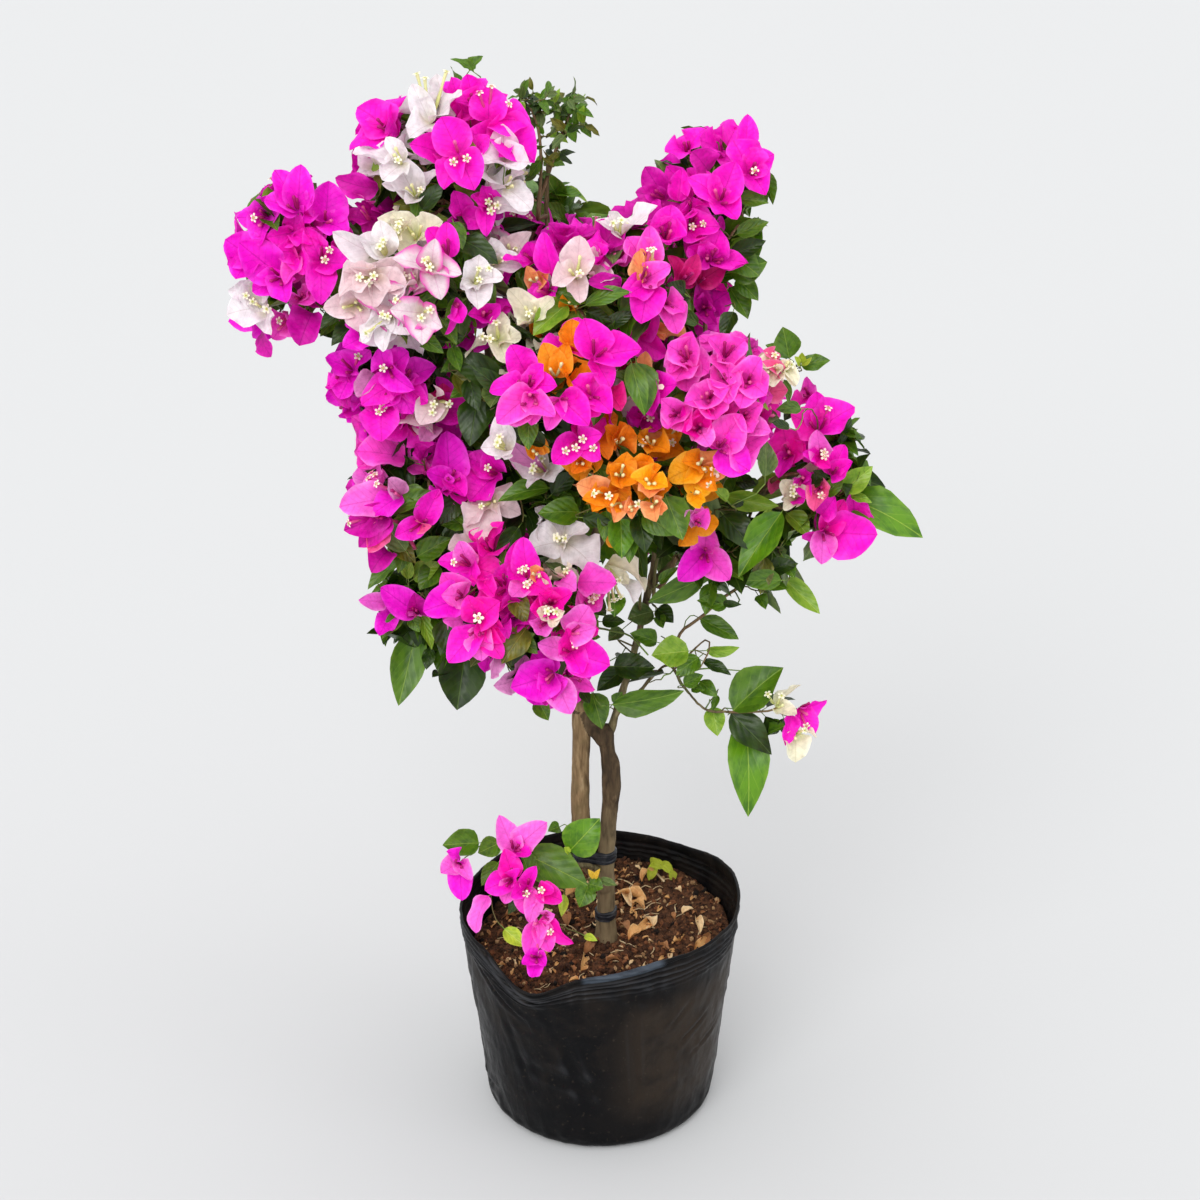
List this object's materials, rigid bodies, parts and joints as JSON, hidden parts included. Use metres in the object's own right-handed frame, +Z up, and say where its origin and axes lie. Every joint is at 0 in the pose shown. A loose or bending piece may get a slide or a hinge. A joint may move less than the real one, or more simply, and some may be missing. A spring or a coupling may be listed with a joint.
{
  "type": "bougainvillea bush",
  "caption": "Flowering bougainvillea bush grafted in several colours, on two fused stems, with a loose round crown, in a black film nursery bag of compost.",
  "frame": {"origin": "centre of the bag's flat underside, on the surface that the plant stands on", "axes": "+Z up; -Y is the plant's front, the side seen in the picture; +X is to the right as seen from the front"},
  "size_m": [0.593, 0.4112, 1.002],
  "materials": {
    "bag_film": "thin black polythene film, softly creased, satin",
    "compost": "damp coir and soil with dried bract litter",
    "bark": "grey-brown bark, matte",
    "twig_bark": "thin dark bark, matte",
    "magenta_bracts": "papery, matte",
    "white_bracts": "papery, matte",
    "orange_bracts": "papery, matte",
    "leaves": "leafy green, satin"
  },
  "bodies": {
    "root": {"back_crest_mass": "white_bracts", "back_left_bough": "twig_bark", "back_left_mass": "magenta_bracts", "back_low_left_mass": "leaves", "back_low_right_mass": "leaves", "back_middle_mass": "orange_bracts", "back_right_bough": "twig_bark", "back_right_mass": "magenta_bracts", "back_right_top_mass": "magenta_bracts", "back_top_bough": "twig_bark", "back_wing_mass": "magenta_bracts", "basal_mass": "magenta_bracts", "basal_shoot": "twig_bark", "centre_mass": "magenta_bracts", "compost": "compost", "crest_bough": "twig_bark", "crest_mass": "magenta_bracts", "front_bough": "twig_bark", "front_low_bough": "twig_bark", "front_low_mass": "magenta_bracts", "fused_arm": "bark", "green_shoot": "twig_bark", "green_shoot_mass": "leaves", "hanging_mass": "leaves", "heart_mass": "white_bracts", "left_leader": "bark", "left_low_bough": "twig_bark", "left_low_mass": "leaves", "left_mid_bough": "twig_bark", "left_middle_mass": "magenta_bracts", "left_upper_mass": "magenta_bracts", "mauve_mass": "magenta_bracts", "middle_leader": "bark", "nursery_bag": "bag_film", "orange_mass": "orange_bracts", "right_bough": "twig_bark", "right_leader": "bark", "right_leafy_mass": "leaves", "right_low_bough": "twig_bark", "right_low_mass": "leaves", "right_top_bough": "twig_bark", "right_top_sprig": "leaves", "right_wing_mass": "magenta_bracts", "second_stem": "bark", "top_left_bough": "twig_bark", "top_left_mass": "magenta_bracts", "trunk": "bark", "upper_left_mass": "white_bracts", "upper_right_mass": "magenta_bracts", "wing_bough": "twig_bark", "wing_mass": "magenta_bracts"}
  },
  "joints": []
}
